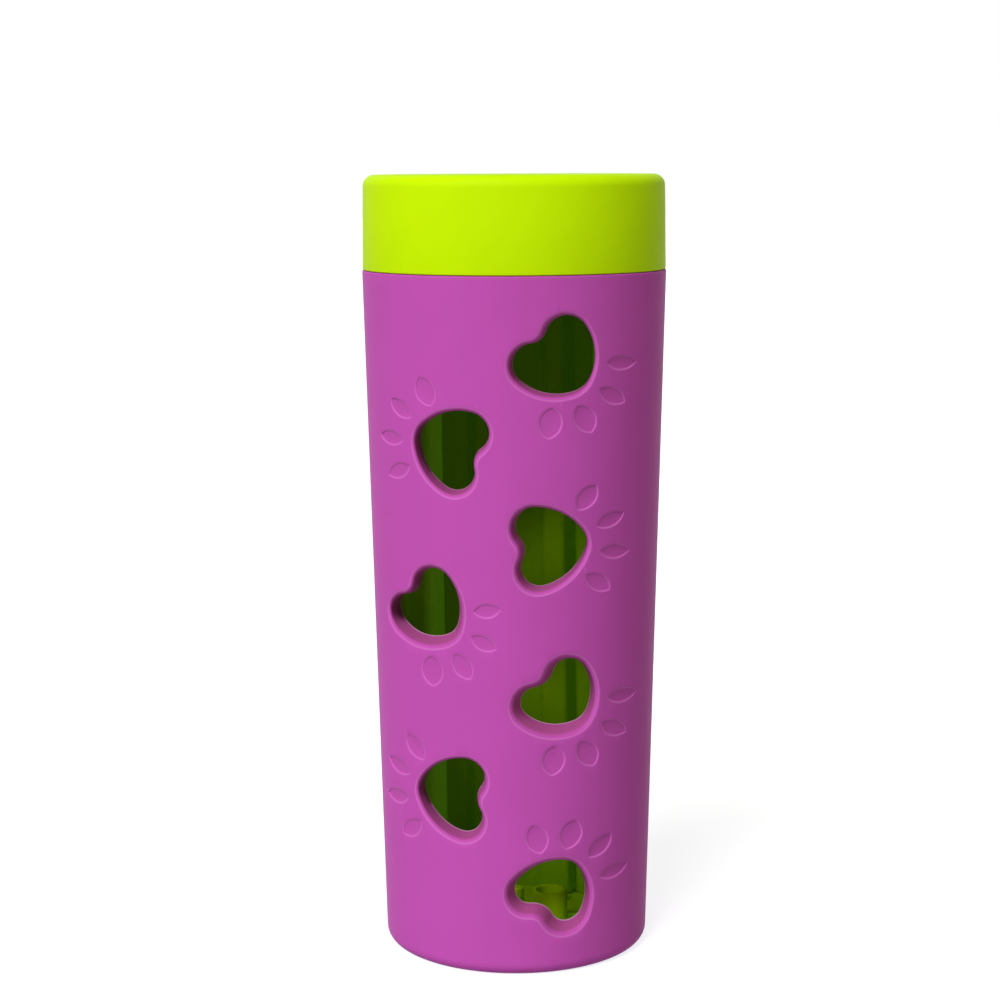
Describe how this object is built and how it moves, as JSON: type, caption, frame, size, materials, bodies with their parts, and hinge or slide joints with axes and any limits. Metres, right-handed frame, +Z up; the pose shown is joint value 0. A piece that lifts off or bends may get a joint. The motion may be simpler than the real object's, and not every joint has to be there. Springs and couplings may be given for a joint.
{
  "type": "rolling treat dispenser",
  "caption": "Tapered tube that a pet rolls on the floor, with heart shaped holes that let treats out, a screw cap for filling and an inner half tube that opens or closes the holes.",
  "frame": {"origin": "centre of the base, on the plane of its foot ring", "axes": "+Z up along the tube's axis to the cap, -Y towards the side with the holes, +X to the right seen from that side"},
  "size_m": [0.0581, 0.058, 0.15],
  "materials": {
    "purple_plastic": "satin moulded",
    "lime_plastic": "satin moulded"
  },
  "bodies": {
    "shell": {"outer_shell": "purple_plastic", "base_disc": "lime_plastic"},
    "sleeve": {"shutter_sleeve": "lime_plastic"},
    "cap": {"screw_cap": "lime_plastic"}
  },
  "joints": [
    {"name": "sleeve_turn", "type": "hinge", "parent": "shell", "child": "sleeve", "pos_m": [0, 0, 0], "axis": [0, 0, 1], "range_deg": [0, 180]},
    {"name": "cap_lift", "type": "slide", "parent": "shell", "child": "cap", "axis": [0, 0, 1], "range_m": [0, 0.03]}
  ]
}
